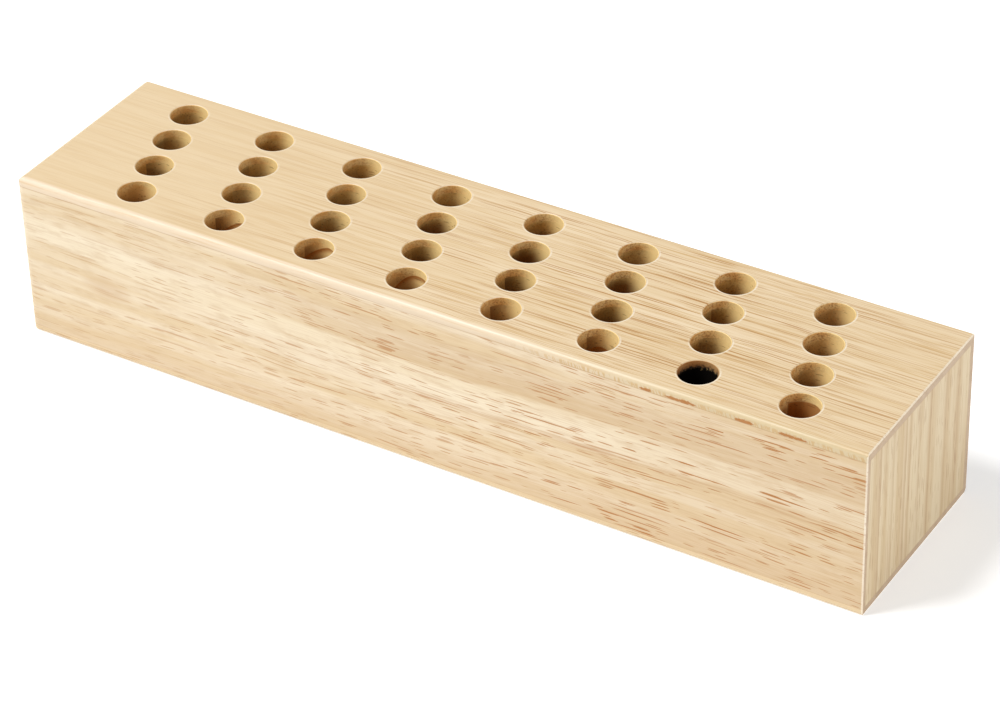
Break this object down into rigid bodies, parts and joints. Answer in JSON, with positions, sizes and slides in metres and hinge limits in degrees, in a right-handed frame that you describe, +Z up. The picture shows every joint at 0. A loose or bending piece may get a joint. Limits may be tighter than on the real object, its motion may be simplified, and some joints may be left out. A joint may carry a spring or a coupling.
{
  "type": "pick holder",
  "caption": "Long wooden block that holds stick-shaped picks upright in slanting columns of round bores; glued-up core faced with thin boards and end panels.",
  "frame": {"origin": "middle of the underside", "axes": "+X along the block to the right-hand end, +Y to the rear, +Z up out of the bores' mouths"},
  "size_m": [0.26, 0.06, 0.05],
  "materials": {
    "top_wood": "satin",
    "bottom_wood": "satin",
    "front_wood": "satin",
    "rear_wood": "satin",
    "end_wood": "satin",
    "core_wood_pale": "matte",
    "core_wood_brown": "matte",
    "core_wood_grey": "matte"
  },
  "bodies": {
    "root": {"top_board": "top_wood", "bottom_board": "bottom_wood", "front_board": "front_wood", "rear_board": "rear_wood", "left_end_panel": "end_wood", "right_end_panel": "end_wood", "core_stave_front": "core_wood_pale", "core_stave_front_middle": "core_wood_brown", "core_stave_rear_middle": "core_wood_grey", "core_stave_rear": "core_wood_pale"}
  },
  "joints": []
}
